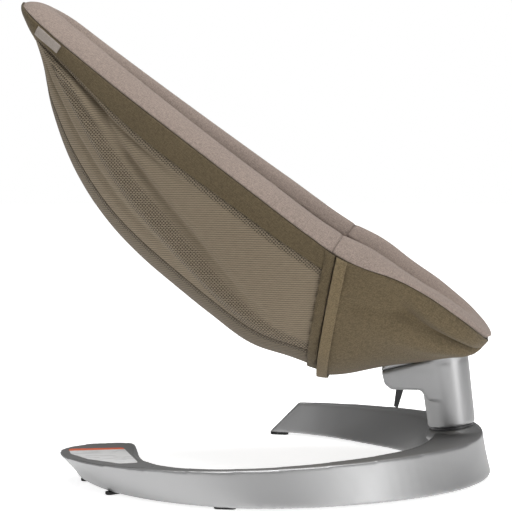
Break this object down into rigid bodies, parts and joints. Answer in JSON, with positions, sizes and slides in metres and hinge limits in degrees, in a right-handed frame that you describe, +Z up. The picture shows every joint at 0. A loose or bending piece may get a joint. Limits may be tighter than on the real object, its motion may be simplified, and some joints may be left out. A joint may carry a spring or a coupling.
{
  "type": "baby bouncer seat",
  "caption": "Baby bouncer with a leaf-shaped fabric seat on a tilted swivel post and a C-shaped cast floor ring; the seat sways and reclines.",
  "frame": {"origin": "centre of the bounding box's bottom face, on the floor", "axes": "+X towards the feet end, -X the head end, +Z up, the long arm with the rear pad on the -Y side"},
  "size_m": [0.56, 0.4507, 0.5534],
  "materials": {
    "cast_silver": "satin",
    "plate_grey": "matte",
    "label": "satin",
    "black_plastic": "matte",
    "bearing_plastic": "matte",
    "foot_rubber": "matte",
    "steel": "brushed",
    "frame_metal": "satin",
    "rim_fabric": "woven",
    "cover_fabric": "woven",
    "mesh_fabric": "knit mesh",
    "liner_fabric": "padded knit",
    "webbing": "webbing",
    "tag_fabric": "woven label"
  },
  "bodies": {
    "stand": {"base_ring": "cast_silver", "pad_plate": "plate_grey", "pad_label": "label", "base_floor": "plate_grey", "foot_screws": "steel", "spindle": "steel", "spindle_washer": "steel", "spindle_nut": "steel", "spindle_clip": "steel", "swivel_washer": "black_plastic", "rubber_foot_1": "foot_rubber", "rubber_foot_2": "foot_rubber", "rubber_foot_3": "foot_rubber", "rubber_foot_4": "foot_rubber", "rubber_foot_5": "foot_rubber", "rubber_foot_6": "foot_rubber", "rubber_foot_7": "foot_rubber"},
    "post": {"post_housing": "cast_silver", "arm_cap": "cast_silver", "lower_bush": "bearing_plastic", "upper_bush": "bearing_plastic", "thrust_washer": "bearing_plastic", "lever_pin": "steel", "bar_spring_near": "steel", "bar_spring_far": "steel", "recline_pin": "steel", "pin_cap_near": "black_plastic", "pin_cap_far": "black_plastic"},
    "lever": {"recline_lever": "black_plastic"},
    "lock": {"lock_bar": "steel"},
    "seat": {"frame_tube": "frame_metal", "seat_hub": "frame_metal", "head_rim_pad": "rim_fabric", "feet_rim_pad": "rim_fabric", "side_band": "cover_fabric", "back_panel": "cover_fabric", "mesh_panel_near": "mesh_fabric", "mesh_panel_far": "mesh_fabric", "sling_binding": "cover_fabric", "front_cover": "cover_fabric", "cover_hem": "cover_fabric", "side_tag": "tag_fabric", "seat_liner": "liner_fabric", "waist_strap_near": "webbing", "waist_strap_far": "webbing", "crotch_strap": "webbing", "buckle": "black_plastic", "buckle_tongue_near": "black_plastic", "buckle_tongue_far": "black_plastic"},
    "button": {"buckle_button": "black_plastic"}
  },
  "joints": [
    {"name": "sway", "type": "hinge", "parent": "stand", "child": "post", "pos_m": [0.234, 0, 0.0565], "axis": [-0.1305, 0, 0.9914], "range_deg": [-18, 18]},
    {"name": "recline", "type": "hinge", "parent": "post", "child": "seat", "pos_m": [0.226, 0, 0.154], "axis": [0, -1, 0], "range_deg": [0, 16]},
    {"name": "lever_pull", "type": "hinge", "parent": "post", "child": "lever", "pos_m": [0.176, 0, 0.112], "axis": [0, -1, 0], "range_deg": [0, 12], "stiffness_Nm_per_rad": 0.4, "springref_deg": -5.73},
    {"name": "lock_slide", "type": "slide", "parent": "post", "child": "lock", "axis": [-1, 0, 0], "range_m": [0, 0.0073], "deforming": ["bar_spring_near", "bar_spring_far"]},
    {"name": "button_press", "type": "slide", "parent": "seat", "child": "button", "axis": [-0.5764, 0, -0.8171], "range_m": [0, 0.002], "stiffness_N_per_m": 300}
  ],
  "couplings": [
    {"joint": "lock_slide", "follows": "lever_pull", "m_per_rad": 0.0348}
  ]
}
